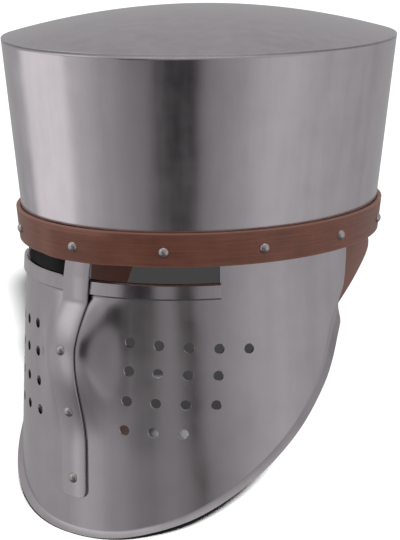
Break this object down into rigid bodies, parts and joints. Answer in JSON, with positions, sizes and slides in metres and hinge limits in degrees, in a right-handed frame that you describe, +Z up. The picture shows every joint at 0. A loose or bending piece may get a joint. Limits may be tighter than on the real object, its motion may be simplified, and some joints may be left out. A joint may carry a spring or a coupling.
{
  "type": "crusader helmet",
  "caption": "Flat-topped steel great helm with a flared oval crown, sight slits, nasal bar, breathing holes, a riveted leather band and a leather chin strap.",
  "frame": {"origin": "on the helmet's axis, on the underside of the roof, where the top of the head carries it", "axes": "+Z up, -Y out of the face, +X towards the wearer's left side"},
  "size_m": [0.226, 0.2577, 0.2995],
  "materials": {
    "crown_steel": "fine vertical brushing, half polished",
    "plate_steel": "half polished, softly brushed",
    "strip_steel": "polished",
    "rivet_steel": "polished and slightly worn",
    "band_leather": "smooth brown leather, satin",
    "strap_leather": "smooth brown leather, matt, with raw cut edges"
  },
  "bodies": {
    "root": {"crown": "crown_steel", "leather_band": "band_leather", "face_plate": "plate_steel", "sight_strip": "strip_steel", "nasal_bar": "strip_steel", "chin_strap": "strap_leather", "band_rivet_01": "rivet_steel", "band_rivet_02": "rivet_steel", "band_rivet_03": "rivet_steel", "band_rivet_04": "rivet_steel", "band_rivet_05": "rivet_steel", "band_rivet_06": "rivet_steel", "band_rivet_07": "rivet_steel", "band_rivet_08": "rivet_steel", "band_rivet_09": "rivet_steel", "band_rivet_10": "rivet_steel", "band_rivet_11": "rivet_steel", "band_rivet_12": "rivet_steel", "bar_rivet_1": "rivet_steel", "bar_rivet_2": "rivet_steel", "bar_rivet_3": "rivet_steel"}
  },
  "joints": []
}
